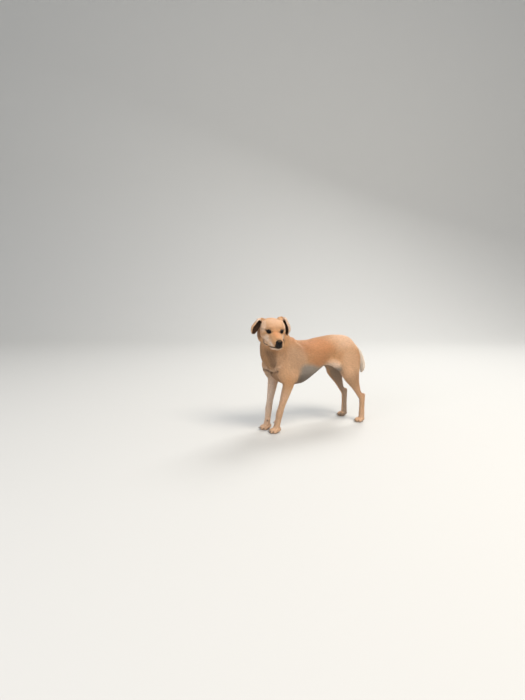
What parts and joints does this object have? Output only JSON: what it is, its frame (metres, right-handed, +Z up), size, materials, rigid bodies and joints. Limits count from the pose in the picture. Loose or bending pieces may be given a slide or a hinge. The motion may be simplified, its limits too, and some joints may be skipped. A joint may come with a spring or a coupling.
{
  "type": "short-coated fawn dog, standing still model",
  "caption": "Life-size still model of a slim short-coated fawn dog, standing square on four paws with its head turned to its left.",
  "frame": {"origin": "on the floor, under the middle of the dog's box", "axes": "+X to the dog's left, -Y the way its body faces, +Z up"},
  "size_m": [0.282, 0.7384, 0.6294],
  "materials": {
    "fawn_coat": "short fawn coat, dry",
    "pale_coat": "short cream coat, dry",
    "nose_leather": "moist black nose leather",
    "brown_eye": "wet, clear over dark brown",
    "claw_horn": "dull dark horn"
  },
  "bodies": {
    "root": {"belly": "fawn_coat", "chest": "fawn_coat", "claw_fore_left_1": "claw_horn", "claw_fore_left_2": "claw_horn", "claw_fore_left_3": "claw_horn", "claw_fore_left_4": "claw_horn", "claw_fore_right_1": "claw_horn", "claw_fore_right_2": "claw_horn", "claw_fore_right_3": "claw_horn", "claw_fore_right_4": "claw_horn", "claw_hind_left_1": "claw_horn", "claw_hind_left_2": "claw_horn", "claw_hind_left_3": "claw_horn", "claw_hind_left_4": "claw_horn", "claw_hind_right_1": "claw_horn", "claw_hind_right_2": "claw_horn", "claw_hind_right_3": "claw_horn", "claw_hind_right_4": "claw_horn", "dewclaw_left": "claw_horn", "dewclaw_right": "claw_horn", "ear_left": "fawn_coat", "ear_right": "fawn_coat", "eye_left": "brown_eye", "eye_right": "brown_eye", "foreleg_left": "fawn_coat", "foreleg_right": "fawn_coat", "forepaw_left": "pale_coat", "forepaw_right": "pale_coat", "head": "fawn_coat", "hindleg_left": "fawn_coat", "hindleg_right": "fawn_coat", "hindpaw_left": "pale_coat", "hindpaw_right": "pale_coat", "lower_jaw": "pale_coat", "neck": "fawn_coat", "nose": "nose_leather", "rump": "fawn_coat", "tail": "pale_coat", "thigh_left": "fawn_coat", "thigh_right": "fawn_coat"}
  },
  "joints": []
}
